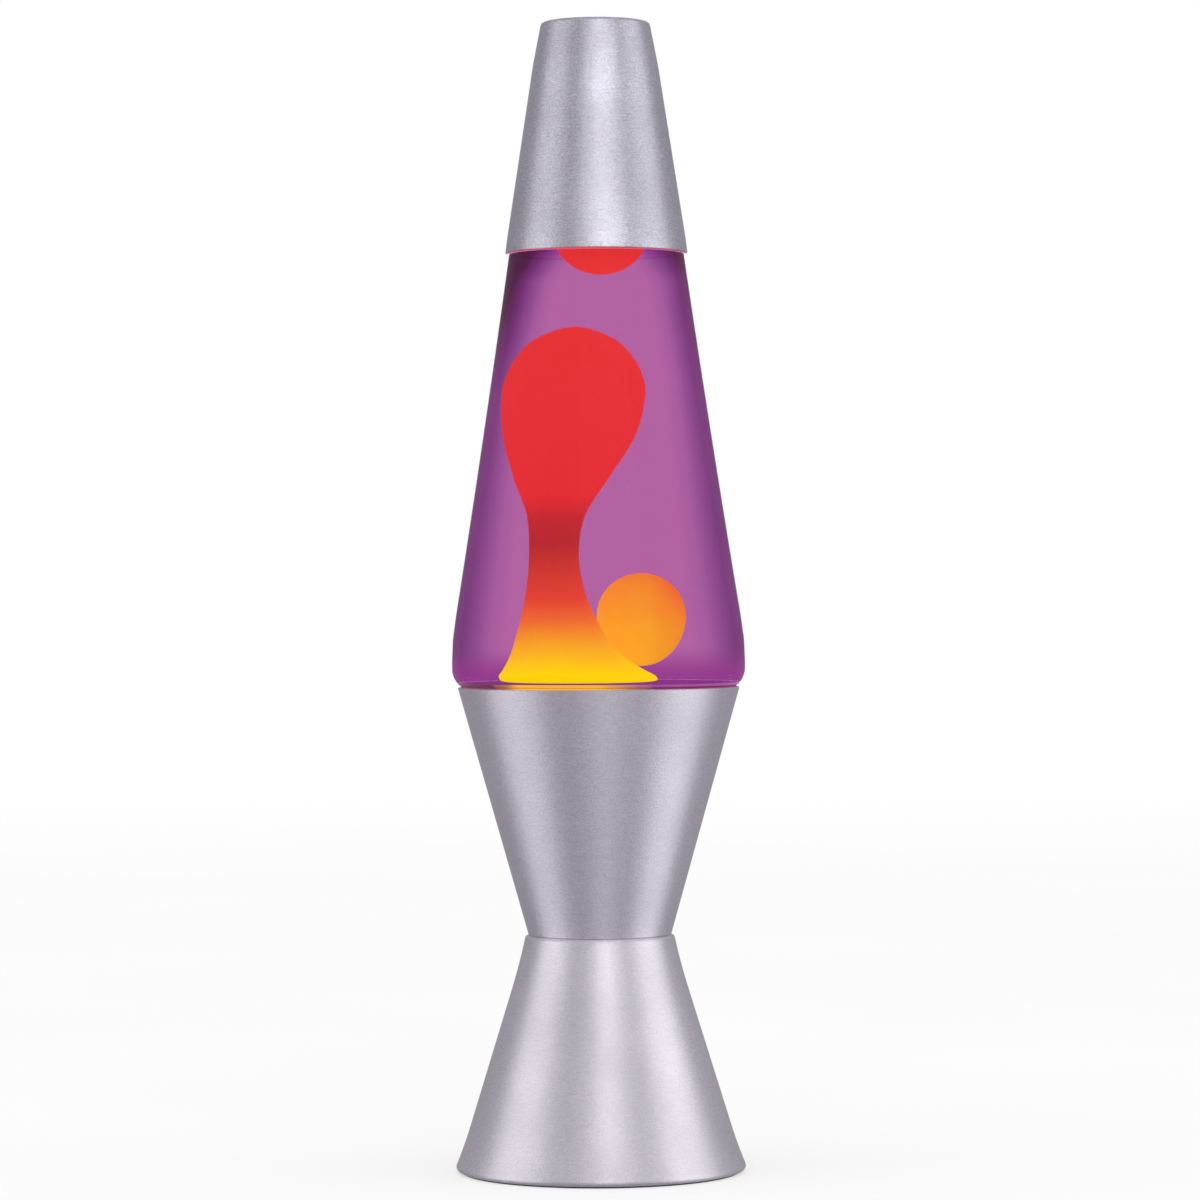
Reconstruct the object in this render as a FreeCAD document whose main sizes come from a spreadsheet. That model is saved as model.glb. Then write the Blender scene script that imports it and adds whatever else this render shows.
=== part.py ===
import FreeCAD, Part
import math
import os
import re
import Sketcher
from FreeCAD import Placement, Rotation, Vector

# Hourglass wax lamp: a stand and a cup of spun aluminium joined at the waist, a glass globe
# that sits in the cup, and a spun cap over its neck. Millimetres, +Z up, and the origin is
# the centre of the foot ring's underside. Unless a name says otherwise, a size is a radius
# from the lamp's axis or a height above the table.
SIZES = [
    # stand
    ("foot_pad", 0.5), ("pad_outer", 44.4), ("pad_inner", 41.6),
    ("stand_wall", 1.0), ("roll_radius", 1.36), ("roll_centre", 45.04), ("roll_slope", 21.8),
    ("flare_radius", 42.1), ("flare_z", 13.9), ("flare_curve", 140.0),
    ("throat_radius", 27.86), ("throat_z", 60.05), ("throat_curve", 205.0),
    ("shoulder_radius", 24.1), ("shoulder_curve", 1.35), ("waist_z", 75.9),
    ("waist_hole", 13.3), ("rivet_circle", 18.6), ("rivet_radius", 1.6), ("rivet_head", 2.5),
    ("rivet_dome", 1.1), ("rivet_tail", 0.7), ("fit_gap", 0.05),
    ("outlet_z", 16.0), ("outlet_tilt", 17.1), ("outlet_reach", 41.45), ("outlet_barrel", 5.0),
    ("outlet_flange", 6.6), ("cord_hole", 3.2),
    ("cover_radius", 43.4), ("cover_thick", 1.5), ("vent_radius", 2.6), ("vent_circle", 27.0),
    # cup
    ("cup_wall", 0.9), ("cup_bottom", 23.0), ("cup_rim", 45.13), ("rim_z", 155.0),
    # socket
    ("socket_radius", 12.9), ("socket_low", 62.0), ("socket_top", 93.0), ("socket_bore", 9.75),
    ("socket_floor", 71.5), ("flange_radius", 15.6), ("flange_thick", 2.0),
    ("nut_radius", 15.9), ("nut_height", 4.0), ("nut_notch", 1.4),
    ("terminal_place", 7.5), ("terminal_shank", 1.5), ("terminal_head", 3.0),
    ("terminal_depth", 5.8), ("head_thick", 2.0), ("driver_slot", 0.7), ("slot_depth", 0.9),
    ("thread_pitch", 2.82), ("thread_depth", 0.4), ("shell_wall", 0.35),
    ("shell_low", 75.0), ("shell_bore", 8.85), ("tongue_width", 4.0), ("tongue_thick", 0.4),
    # bulb
    ("bulb_low", 73.0), ("bulb_length", 58.7), ("bulb_radius", 17.45), ("bulb_neck", 7.5),
    ("bulb_wall", 0.7), ("base_radius", 8.35), ("base_low", 76.6), ("base_top", 91.6),
    ("contact_radius", 2.6), ("stem_radius", 2.2), ("stem_top", 103.0),
    ("filament_radius", 6.5), ("filament_z", 112.5), ("filament_wire", 0.45), ("support_wire", 0.35),
    # globe
    ("glass_wall", 2.7), ("globe_low", 154.0), ("punt_rise", 0.8), ("punt_radius", 33.0),
    ("bearing_inner", 36.0), ("heel_curve", 7.3), ("globe_radius", 47.1), ("belly_z", 163.5),
    ("belly_top_radius", 46.8), ("belly_top_z", 170.5), ("body_radius", 45.8), ("body_z", 178.0),
    ("body_bow", 6000.0),
    ("upper_radius", 28.2), ("upper_z", 293.5), ("shoulder_low_radius", 26.75), ("shoulder_low_z", 302.5),
    ("shoulder_out", 12.0), ("shoulder_mid_radius", 20.9), ("shoulder_mid_z", 311.07),
    ("shoulder_in", 14.08), ("neck_radius", 14.0), ("neck_z", 323.3), ("neck_bore", 8.5),
    ("finish_z", 331.0), ("finish_top", 341.5), ("fill_z", 327.0),
    ("crown_wall", 0.5), ("crown_radius", 15.2), ("crown_low", 336.2), ("liner_thick", 0.8),
    ("coil_radius", 13.0), ("coil_wire", 1.8), ("coil_x", -7.0), ("coil_y", -3.5), ("coil_z", 158.8),
    # wax
    ("ball_x", 13.9), ("ball_y", 14.0), ("ball_z", 176.7), ("ball_radius", 14.8), ("ball_height", 15.1),
    ("drop_x", 1.4), ("drop_z", 300.4), ("drop_radius", 15.4), ("drop_height", 13.0), ("wax_gap", 0.4),
    # cap
    ("cap_wall", 0.7), ("cap_low", 294.35), ("cap_rim", 29.18),
    ("cap_lower_radius", 28.7), ("cap_lower_z", 298.6), ("cap_upper_radius", 20.0), ("cap_upper_z", 355.0),
    ("cap_edge_radius", 17.65), ("cap_edge_z", 366.95), ("cap_edge_curve", 1.4),
    ("cap_flat", 16.3), ("lamp_height", 368.3),
]

# The wax column as round sections from its foot upward: height, centre x, centre y, radius.
WAX_SECTIONS = [
    (156.9, -6.0, -3.0, 22.6),
    (158.4, -6.7, -3.0, 25.2),
    (161.8, -8.8, -4.0, 21.4),
    (166.0, -10.6, -5.0, 17.6),
    (171.5, -11.9, -5.0, 14.4),
    (180.0, -12.9, -5.0, 11.3),
    (197.5, -14.1, -4.0, 8.0),
    (211.0, -13.5, -3.0, 9.4),
    (226.0, -10.9, -2.0, 17.2),
    (243.5, -8.0, -1.0, 23.0),
    (257.0, -7.1, -1.0, 20.9),
    (266.5, -7.0, -1.0, 13.2),
    (270.6, -7.0, -1.0, 3.5),
]

SHELL_THREADS = 6
BULB_THREADS = 4
RIVET_COUNT = 3
NOTCH_COUNT = 8
VENT_COUNT = 8
CROWN_FLUTES = 21

doc = FreeCAD.newDocument("WaxLamp")
sheet = doc.addObject("Spreadsheet::Sheet", "Sizes")
parts = []


# ---------------------------------------------------------------- sheet and expressions

def fill_sheet():
    rows = list(SIZES)
    for index, section in enumerate(WAX_SECTIONS):
        for word, value in zip(("z", "x", "y", "radius"), section):
            rows.append((f"wax_{word}_{index}", value))
    for row, (alias, value) in enumerate(rows, start=1):
        sheet.set(f"A{row}", alias)
        sheet.set(f"B{row}", str(value))
        sheet.setAlias(f"B{row}", alias)
    doc.recompute()


def bound(text):
    """Turn sheet aliases in an expression into references that any object can use."""
    return re.sub(r"\b[a-z]+(?:_[a-z0-9]+)+\b", lambda word: "Sizes." + word.group(0), text)


def number(text):
    return float(sheet.evalExpression(bound(text)))


def bind(item, path, text):
    item.setExpression(path, bound(text))


# ---------------------------------------------------------------- sketches and features

def new_body(label):
    body = doc.addObject("PartDesign::Body", label)
    body.Label = label
    parts.append(body)
    return body


def origin_part(body, role):
    """The body's own plane or axis with that role, such as XZ_Plane."""
    return next(item for item in body.Origin.OriginFeatures if item.Role == role)


def new_sketch(body, name, role="XZ_Plane", height="0"):
    sketch = body.newObject("Sketcher::SketchObject", name)
    sketch.AttachmentSupport = [(origin_part(body, role), "")]
    sketch.MapMode = "FlatFace"
    if height != "0":
        bind(sketch, "AttachmentOffset.Base.z", height)
    doc.recompute()
    return sketch


def place_point(sketch, geometry, position, expressions, name):
    """Fix one end of a curve at two expressions, one along each sketch axis."""
    kinds = ("DistanceX", "DistanceY")
    other_axes = (-2, -1)
    for kind, axis, text, suffix in zip(kinds, other_axes, expressions, "xy"):
        if number(text) == 0.0:
            sketch.addConstraint(Sketcher.Constraint("PointOnObject", geometry, position, axis))
            continue
        constraint = Sketcher.Constraint(kind, -1, 1, geometry, position, number(text))
        index = sketch.addConstraint(constraint)
        sketch.renameConstraint(index, f"{name}_{suffix}")
        bind(sketch, f"Constraints.{name}_{suffix}", text)


def arc_between(start, end, radius, left_turn):
    """An arc from start to end that bends left or right on its way."""
    chord = end - start
    half = chord.Length / 2
    rise = math.sqrt(max(radius * radius - half * half, 0.0))
    side = Vector(-chord.y, chord.x, 0).normalize() * (rise if left_turn else -rise)
    centre = start + chord * 0.5 + side
    angles = [math.atan2(point.y - centre.y, point.x - centre.x) for point in (start, end)]
    if not left_turn:
        angles.reverse()
    circle = Part.Circle(centre, Vector(0, 0, 1), radius)
    return Part.ArcOfCircle(circle, angles[0], angles[1])


def draw_outline(sketch, corners):
    """Draw a closed outline. A corner is (x, y), reached by a line, or (x, y, radius, turn),
    reached by an arc that bends to the left or to the right."""
    points = [Vector(number(corner[0]), number(corner[1]), 0) for corner in corners]
    ends = []
    for index, corner in enumerate(corners):
        start = points[index - 1]
        end = points[index]
        if len(corner) == 2:
            geometry = sketch.addGeometry(Part.LineSegment(start, end), False)
            ends.append((geometry, 1, 2))
            continue
        left_turn = corner[3] == "left"
        geometry = sketch.addGeometry(arc_between(start, end, number(corner[2]), left_turn), False)
        ends.append((geometry, 1, 2) if left_turn else (geometry, 2, 1))
    for index, (geometry, first, last) in enumerate(ends):
        before = ends[index - 1]
        sketch.addConstraint(Sketcher.Constraint("Coincident", before[0], before[2], geometry, first))
        place_point(sketch, geometry, last, corners[index][:2], f"corner{index}")
        if len(corners[index]) == 4:
            radius = corners[index][2]
            constraint = sketch.addConstraint(Sketcher.Constraint("Radius", geometry, number(radius)))
            sketch.renameConstraint(constraint, f"curve{index}")
            bind(sketch, f"Constraints.curve{index}", radius)
    doc.recompute()


def draw_circles(sketch, circles):
    """Draw circles, each given as (x, y, radius)."""
    for index, (centre_x, centre_y, radius) in enumerate(circles):
        centre = Vector(number(centre_x), number(centre_y), 0)
        circle = Part.Circle(centre, Vector(0, 0, 1), number(radius))
        geometry = sketch.addGeometry(circle, False)
        place_point(sketch, geometry, 3, (centre_x, centre_y), f"centre{index}")
        constraint = sketch.addConstraint(Sketcher.Constraint("Radius", geometry, number(radius)))
        sketch.renameConstraint(constraint, f"radius{index}")
        bind(sketch, f"Constraints.radius{index}", radius)
    doc.recompute()


def revolve(body, corners):
    sketch = new_sketch(body, body.Name + "_outline")
    draw_outline(sketch, corners)
    feature = body.newObject("PartDesign::Revolution", body.Name + "_turned")
    feature.Profile = sketch
    feature.ReferenceAxis = (sketch, ["V_Axis"])
    feature.Angle = 360
    sketch.Visibility = False
    doc.recompute()
    return feature


def turned_body(label, corners):
    body = new_body(label)
    revolve(body, corners)
    return body


def pocket_up(body, name, height, circles, depth, offset=None):
    """Cut round holes upward from a height, or along an offset frame's own Z, and check that
    they cut something."""
    before = body.Shape.Volume
    sketch = new_sketch(body, name + "_sketch", "XY_Plane", height)
    if offset is not None:
        sketch.AttachmentOffset = offset
    draw_circles(sketch, circles)
    feature = body.newObject("PartDesign::Pocket", name)
    feature.Profile = sketch
    feature.Reversed = True
    bind(feature, "Length", depth)
    sketch.Visibility = False
    doc.recompute()
    if body.Shape.Volume >= before:
        raise RuntimeError(f"{name} cuts nothing")
    return feature


def repeat_round(body, feature, count):
    pattern = body.newObject("PartDesign::PolarPattern", feature.Name + "_ring")
    pattern.Originals = [feature]
    pattern.Axis = (origin_part(body, "Z_Axis"), [""])
    pattern.Angle = 360
    pattern.Occurrences = count
    body.Tip = pattern
    doc.recompute()


# ---------------------------------------------------------------- stand, cup and waist

def base_stand():
    """A flared skirt, rolled in at its foot, with a flat deck at the waist."""
    foot = "foot_pad + roll_radius"
    inner_roll = "roll_radius - stand_wall"
    body = turned_body("base_stand", [
        ("waist_hole", "waist_z - stand_wall"),
        ("shoulder_radius - shoulder_curve", "waist_z - stand_wall"),
        ("throat_radius - stand_wall", "throat_z", "throat_curve", "left"),
        ("flare_radius - stand_wall - fit_gap", "flare_z"),
        (f"roll_centre + ({inner_roll}) * cos(roll_slope)", f"{foot} + ({inner_roll}) * sin(roll_slope)",
         "flare_curve", "left"),
        ("roll_centre", "foot_pad + stand_wall", inner_roll, "right"),
        ("pad_inner - 0.4", "foot_pad + stand_wall"),
        ("pad_inner - 0.4", "foot_pad"),
        ("roll_centre", "foot_pad"),
        ("roll_centre + roll_radius * cos(roll_slope)", f"{foot} + roll_radius * sin(roll_slope)",
         "roll_radius", "left"),
        ("flare_radius", "flare_z", "flare_curve", "right"),
        ("throat_radius", "throat_z"),
        ("shoulder_radius", "waist_z - shoulder_curve", "throat_curve", "right"),
        ("shoulder_radius - shoulder_curve", "waist_z", "shoulder_curve", "left"),
        ("waist_hole", "waist_z"),
    ])
    holes = pocket_up(body, "deck_rivet_hole", "waist_z - 2 * stand_wall",
                      [("rivet_circle", "0", "rivet_radius")], "3 * stand_wall")
    repeat_round(body, holes, RIVET_COUNT)
    outlet_hole(body)
    return body


def outlet_hole(body):
    """The round hole for the cord bushing, square to the sloping back of the stand."""
    start = outlet_placement("3 * stand_wall")
    pocket_up(body, "outlet_hole", "0", [("0", "0", "outlet_barrel + fit_gap")], "6 * stand_wall", start)


def outlet_placement(depth="0"):
    """A frame at a depth under the stand's back wall, whose own Z runs out, square to the wall."""
    tilt = Rotation(Vector(1, 0, 0), number("outlet_tilt - 90"))
    mouth = Vector(0, number("outlet_reach"), number("outlet_z"))
    return Placement(mouth - tilt.multVec(Vector(0, 0, number(depth))), tilt)


def cord_bushing():
    body = turned_body("cord_bushing", [
        ("cord_hole", "-3.4"),
        ("outlet_barrel", "-3.4"),
        ("outlet_barrel + 0.7", "-2.9"),
        ("outlet_barrel + 0.7", "-2.0"),
        ("outlet_barrel", "-1.7"),
        ("outlet_barrel", "0.1"),
        ("outlet_flange", "0.1"),
        ("outlet_flange", "1.0"),
        ("outlet_barrel + 0.4", "1.9", "1.4", "left"),
        ("cord_hole + 0.5", "1.9"),
        ("cord_hole", "1.4", "0.5", "left"),
    ])
    body.Placement = outlet_placement()
    return body


def base_cup():
    floor = "waist_z + cup_wall"
    body = turned_body("base_cup", [
        ("waist_hole", "waist_z"),
        ("cup_bottom - 0.6", "waist_z"),
        ("cup_bottom", "waist_z + 0.5", "0.6", "left"),
        ("cup_rim", "rim_z"),
        ("cup_rim - cup_wall", "rim_z", "0.5", "left"),
        ("cup_bottom - cup_wall + 0.2", f"{floor} + 0.8"),
        ("cup_bottom - cup_wall - 0.6", floor, "0.8", "right"),
        ("waist_hole", floor),
    ])
    holes = pocket_up(body, "floor_rivet_hole", "waist_z - cup_wall",
                      [("rivet_circle", "0", "rivet_radius")], "3 * cup_wall")
    repeat_round(body, holes, RIVET_COUNT)
    return body


def grouped(label, shape):
    """A part made of several equal solids."""
    feature = doc.addObject("Part::Feature", label)
    feature.Label = label
    feature.Shape = shape
    feature.Placement = Placement()
    parts.append(feature)
    return feature


def around_axis(shape, count):
    copies = []
    for index in range(count):
        copy = shape.copy()
        copy.rotate(Vector(0, 0, 0), Vector(0, 0, 1), 360 * index / count)
        copies.append(copy)
    return Part.makeCompound(copies)


def waist_rivets():
    """Domed rivets through the cup's floor and the stand's deck."""
    low = Vector(number("rivet_circle"), 0, number("waist_z - stand_wall"))
    top = Vector(number("rivet_circle"), 0, number("waist_z + cup_wall"))
    up = Vector(0, 0, 1)
    head = number("rivet_head")
    dome_height = number("rivet_dome")
    ball = (head * head + dome_height * dome_height) / (2 * dome_height)
    inside = up * number("fit_gap")
    shank = Part.makeCylinder(number("rivet_radius"), (top - low + inside * 2).Length, low - inside)
    sphere = Part.makeSphere(ball, top + up * (dome_height - ball))
    dome = sphere.common(Part.makeCylinder(head, 2 * dome_height, top))
    tail = Part.makeCone(head, 0.8 * head, number("rivet_tail"), low, -up)
    rivet = shank.fuse(dome).fuse(tail).removeSplitter()
    return grouped("waist_rivets", around_axis(rivet, RIVET_COUNT))


def bottom_cover():
    low = "foot_pad + stand_wall"
    body = turned_body("bottom_cover", [
        ("0", low),
        ("cover_radius", low),
        ("cover_radius", f"{low} + cover_thick"),
        ("0", f"{low} + cover_thick"),
    ])
    vent = pocket_up(body, "vent", "foot_pad", [("vent_circle", "0", "vent_radius")], "3 * cover_thick")
    repeat_round(body, vent, VENT_COUNT)
    return body


def foot_ring():
    return turned_body("foot_ring", [
        ("pad_inner", "0"),
        ("pad_outer", "0"),
        ("pad_outer", "foot_pad"),
        ("pad_inner", "foot_pad"),
    ])


# ---------------------------------------------------------------- lamp socket

def socket_body():
    floor = "waist_z + cup_wall"
    body = turned_body("socket_body", [
        ("0", "socket_low"),
        ("socket_radius - 0.8", "socket_low"),
        ("socket_radius", "socket_low + 0.8", "0.8", "left"),
        ("socket_radius", floor),
        ("flange_radius", floor),
        ("flange_radius", f"{floor} + flange_thick"),
        ("socket_radius", f"{floor} + flange_thick"),
        ("socket_radius - 0.6", "socket_top"),
        ("socket_bore + 0.4", "socket_top"),
        ("socket_bore", "socket_top - 0.4"),
        ("socket_bore", "socket_floor"),
        ("0", "socket_floor"),
    ])
    pocket_up(body, "terminal_holes", "socket_low",
              [("terminal_place", "0", "terminal_shank"), ("-terminal_place", "0", "terminal_shank")], "6")
    return body


def socket_ring_nut():
    deck = "waist_z - stand_wall"
    body = turned_body("socket_ring_nut", [
        ("socket_radius", f"{deck} - nut_height"),
        ("nut_radius - 0.6", f"{deck} - nut_height"),
        ("nut_radius", f"{deck} - nut_height + 0.6"),
        ("nut_radius", deck),
        ("socket_radius", deck),
    ])
    notch = pocket_up(body, "nut_grip", f"{deck} - nut_height", [("nut_radius + 0.4", "0", "nut_notch")],
                      "nut_height")
    repeat_round(body, notch, NOTCH_COUNT)
    return body


def threaded_wall(low, inner, count):
    """Corners of a thin rolled thread: up the outside in waves, then down the inside."""
    outside = []
    inside = []
    for turn in range(count):
        for part, depth in ((0.25, "0"), (0.75, "thread_depth")):
            height = f"{low} + {turn + part} * thread_pitch"
            outside.append((f"{inner} + shell_wall + thread_depth - {depth}", height))
            inside.append((f"{inner} + thread_depth - {depth}", height))
    return outside, inside[::-1]


def socket_screw_shell():
    outside, inside = threaded_wall("shell_low", "shell_bore", SHELL_THREADS)
    top = f"shell_low + {SHELL_THREADS} * thread_pitch"
    start = [("shell_bore", "shell_low - 1"), ("shell_bore + shell_wall", "shell_low - 1")]
    end = [("shell_bore + shell_wall + thread_depth", top), ("shell_bore + thread_depth", top)]
    return turned_body("socket_screw_shell", start + outside + end + inside)


def socket_contact():
    """A springy brass tongue, fixed flat on the socket's floor and bent up under the bulb."""
    body = new_body("socket_contact")
    sketch = new_sketch(body, "tongue_side")
    draw_outline(sketch, [
        ("-7", "socket_floor"),
        ("-2.6", "socket_floor"),
        ("0.2", "socket_floor + 0.6"),
        ("2.2", "socket_floor + 0.6"),
        ("2.2", "socket_floor + 0.6 + tongue_thick"),
        ("0", "socket_floor + 0.6 + tongue_thick"),
        ("-2.8", "socket_floor + tongue_thick"),
        ("-7", "socket_floor + tongue_thick"),
    ])
    pad = body.newObject("PartDesign::Pad", "tongue")
    pad.Profile = sketch
    pad.Midplane = True
    bind(pad, "Length", "tongue_width")
    sketch.Visibility = False
    doc.recompute()
    return body


def terminal_screws():
    """Two slotted screws in the socket's underside, one for each lead of the cord."""
    place = Vector(number("terminal_place"), 0, number("socket_low"))
    radius = number("terminal_head")
    thick = number("head_thick")
    width = number("driver_slot")
    shank = Part.makeCylinder(number("terminal_shank"), number("terminal_depth"), place)
    head = Part.makeCylinder(radius, thick, place - Vector(0, 0, thick))
    slot = Part.makeBox(4 * radius, width, number("slot_depth"), place - Vector(2 * radius, width / 2, thick))
    screw = shank.fuse(head).cut(slot).removeSplitter()
    return grouped("terminal_screws", around_axis(screw, 2))


# ---------------------------------------------------------------- bulb

def bulb_parts():
    top = "bulb_low + bulb_length"
    centre = f"{top} - bulb_radius"
    inner = "bulb_radius - bulb_wall"
    turned_body("bulb_glass", [
        ("bulb_neck", "base_low + 4"),
        ("bulb_neck", "base_top + 1"),
        ("bulb_radius * cos(30)", f"{centre} - bulb_radius * 0.5"),
        ("0", top, "bulb_radius", "left"),
        ("0", f"{top} - bulb_wall"),
        (f"({inner}) * cos(30)", f"{centre} - ({inner}) * 0.5", inner, "right"),
        ("bulb_neck - bulb_wall", "base_top + 1.4"),
        ("bulb_neck - bulb_wall", "base_low + 4"),
    ])
    base_inner = "base_radius - thread_depth - shell_wall"
    outside, inside = threaded_wall("base_low + 1", base_inner, BULB_THREADS)
    skirt = [(f"{base_inner} - 0.5", "base_low"), (f"{base_inner} + shell_wall", "base_low")]
    rim = [("base_radius", "base_top"), ("base_radius - shell_wall", "base_top")]
    turned_body("bulb_screw_base", skirt + outside + rim + inside)
    turned_body("bulb_base_insulator", [
        ("0", "bulb_low + 0.9"),
        ("contact_radius + 0.9", "bulb_low + 0.9"),
        (f"{base_inner} + 0.1", "base_low"),
        (f"{base_inner} - 0.5", "base_low"),
        (f"{base_inner} - 0.5", "base_low + 1.2"),
        ("0", "base_low + 1.2"),
    ])
    turned_body("bulb_contact", [
        ("0", "bulb_low"),
        ("contact_radius", "bulb_low + 0.9", "(contact_radius * contact_radius + 0.81) / 1.8", "left"),
        ("0", "bulb_low + 0.9"),
    ])
    turned_body("bulb_stem", [
        ("0", "base_low + 4"),
        ("bulb_neck - bulb_wall", "base_low + 4"),
        ("bulb_neck - bulb_wall", "base_low + 5.5"),
        ("stem_radius", "base_low + 11", "9", "right"),
        ("stem_radius", "stem_top - 1"),
        ("stem_radius - 1", "stem_top", "1", "left"),
        ("0", "stem_top"),
    ])


def filament():
    ring = doc.addObject("Part::Torus", "filament")
    ring.Label = "filament"
    bind(ring, "Radius1", "filament_radius")
    bind(ring, "Radius2", "filament_wire")
    ring.Angle3 = 180
    ring.Placement = Placement(Vector(0, 0, number("filament_z")), Rotation())
    parts.append(ring)
    return ring


def filament_supports():
    """Two stiff wires from the stem's top to the ends of the filament."""
    foot = Vector(1.2, 0, number("stem_top"))
    end = Vector(number("filament_radius"), 0, number("filament_z - filament_wire"))
    run = end - foot
    wire = Part.makeCylinder(number("support_wire"), run.Length - 0.25, foot + Vector(0, 0, 0.15), run)
    return grouped("filament_supports", around_axis(wire, 2))


# ---------------------------------------------------------------- globe

def inner_wall(top):
    """Corners of the globe's inside, from the axis at the bottom up to a height in the neck."""
    return [
        ("0", "globe_low + glass_wall"),
        ("globe_radius - heel_curve", "globe_low + glass_wall"),
        ("globe_radius - glass_wall", "globe_low + heel_curve", "heel_curve - glass_wall", "left"),
        ("globe_radius - glass_wall", "belly_z"),
        ("belly_top_radius - glass_wall", "belly_top_z"),
        ("body_radius - glass_wall", "body_z"),
        ("upper_radius - glass_wall", "upper_z", "body_bow", "right"),
        ("shoulder_low_radius - glass_wall + 0.05", "shoulder_low_z - 0.44"),
        ("shoulder_mid_radius - glass_wall / 2", "shoulder_mid_z - glass_wall * 0.866",
         "shoulder_out - glass_wall", "left"),
        ("neck_radius - glass_wall", "neck_z", "shoulder_in + glass_wall", "right"),
        ("neck_radius - glass_wall", top),
    ]


def globe_bottle():
    inside = inner_wall("fill_z + 1")
    mouth = [
        ("neck_bore", "finish_z + 1"),
        ("neck_bore", "finish_top - 0.4"),
        ("neck_bore + 0.4", "finish_top", "0.4", "right"),
        ("neck_bore + 2.6", "finish_top"),
        ("neck_bore + 4.6", "finish_top - 2", "2", "right"),
        ("neck_bore + 4.6", "finish_top - 3.4"),
        ("neck_bore + 4.1", "finish_top - 4.4"),
        ("neck_bore + 4.1", "finish_z + 3.6"),
        ("neck_radius", "finish_z + 2.6"),
        ("neck_radius", "neck_z"),
    ]
    outside = [
        ("shoulder_mid_radius", "shoulder_mid_z", "shoulder_in", "left"),
        ("shoulder_low_radius", "shoulder_low_z", "shoulder_out", "right"),
        ("upper_radius", "upper_z"),
        ("body_radius", "body_z", "body_bow", "left"),
        ("belly_top_radius", "belly_top_z"),
        ("globe_radius", "belly_z"),
        ("globe_radius", "globe_low + heel_curve"),
        ("globe_radius - heel_curve", "globe_low", "heel_curve", "right"),
        ("bearing_inner", "globe_low"),
        ("punt_radius", "globe_low + punt_rise"),
        ("0", "globe_low + punt_rise"),
    ]
    return turned_body("globe_bottle", inside + mouth + outside)


def crown_cap():
    top = "finish_top + liner_thick + crown_wall"
    body = turned_body("crown_cap", [
        ("0", "finish_top + liner_thick"),
        ("neck_bore + 3.4", "finish_top + liner_thick"),
        ("neck_bore + 5.2", "finish_top - 1.2", "2.2", "right"),
        ("crown_radius - crown_wall", "crown_low"),
        ("crown_radius", "crown_low"),
        ("neck_bore + 5.2 + crown_wall", "finish_top - 1.2"),
        ("neck_bore + 3.4", top, "2.7", "left"),
        ("0", top),
    ])
    flute = pocket_up(body, "crown_flute", "crown_low", [("crown_radius + 0.9", "0", "1.15")], "3.4")
    repeat_round(body, flute, CROWN_FLUTES)
    return body


def crown_liner():
    return turned_body("crown_liner", [
        ("0", "finish_top"),
        ("neck_bore + 2.6", "finish_top"),
        ("neck_bore + 2.6", "finish_top + liner_thick"),
        ("0", "finish_top + liner_thick"),
    ])


def wire_coil():
    """The outer shape of a springy coil of wire, bent into a ring and sunk in the foot of the wax."""
    ring = doc.addObject("Part::Torus", "wire_coil")
    ring.Label = "wire_coil"
    bind(ring, "Radius1", "coil_radius")
    bind(ring, "Radius2", "coil_wire")
    ring.Placement = Placement(Vector(number("coil_x"), number("coil_y"), number("coil_z")), Rotation())
    parts.append(ring)
    return ring


# ---------------------------------------------------------------- wax and liquid

def wax_flow():
    """The column of wax, lofted through its round sections."""
    body = doc.addObject("PartDesign::Body", "wax_flow")
    sketches = []
    for index in range(len(WAX_SECTIONS)):
        sketch = new_sketch(body, f"wax_section_{index}", "XY_Plane", f"wax_z_{index}")
        draw_circles(sketch, [(f"wax_x_{index}", f"wax_y_{index}", f"wax_radius_{index}")])
        sketch.Visibility = False
        sketches.append(sketch)
    loft = body.newObject("PartDesign::AdditiveLoft", "wax_loft")
    loft.Profile = sketches[0]
    loft.Sections = sketches[1:]
    loft.Ruled = False
    doc.recompute()
    return body


def wax_lump(name, place, radius, height, growth="0"):
    lump = doc.addObject("Part::Ellipsoid", name)
    bind(lump, "Radius1", f"{height} + {growth}")
    bind(lump, "Radius2", f"{radius} + {growth}")
    bind(lump, "Radius3", f"{radius} + {growth}")
    for axis, text in zip("xyz", place):
        bind(lump, f"Placement.Base.{axis}", text)
    doc.recompute()
    return lump


def wax_and_liquid(coil):
    flow = wax_flow()
    column = doc.addObject("Part::Cut", "wax_column")
    column.Base = flow
    column.Tool = coil
    parts.append(column)

    ball_place = ("ball_x", "ball_y", "ball_z")
    drop_place = ("drop_x", "0", "drop_z")
    parts.append(wax_lump("wax_ball", ball_place, "ball_radius", "ball_height"))
    parts.append(wax_lump("wax_drop", drop_place, "drop_radius", "drop_height"))
    ball_room = wax_lump("ball_room", ball_place, "ball_radius", "ball_height", "wax_gap")
    drop_room = wax_lump("drop_room", drop_place, "drop_radius", "drop_height", "wax_gap")

    filling = doc.addObject("PartDesign::Body", "filling")
    revolve(filling, inner_wall("fill_z") + [("0", "fill_z")])
    rooms = doc.addObject("Part::MultiFuse", "wax_rooms")
    rooms.Shapes = [flow, ball_room, drop_room]
    liquid = doc.addObject("Part::Cut", "lava_fluid")
    liquid.Base = filling
    liquid.Tool = rooms
    parts.append(liquid)
    doc.recompute()


# ---------------------------------------------------------------- cap

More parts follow.
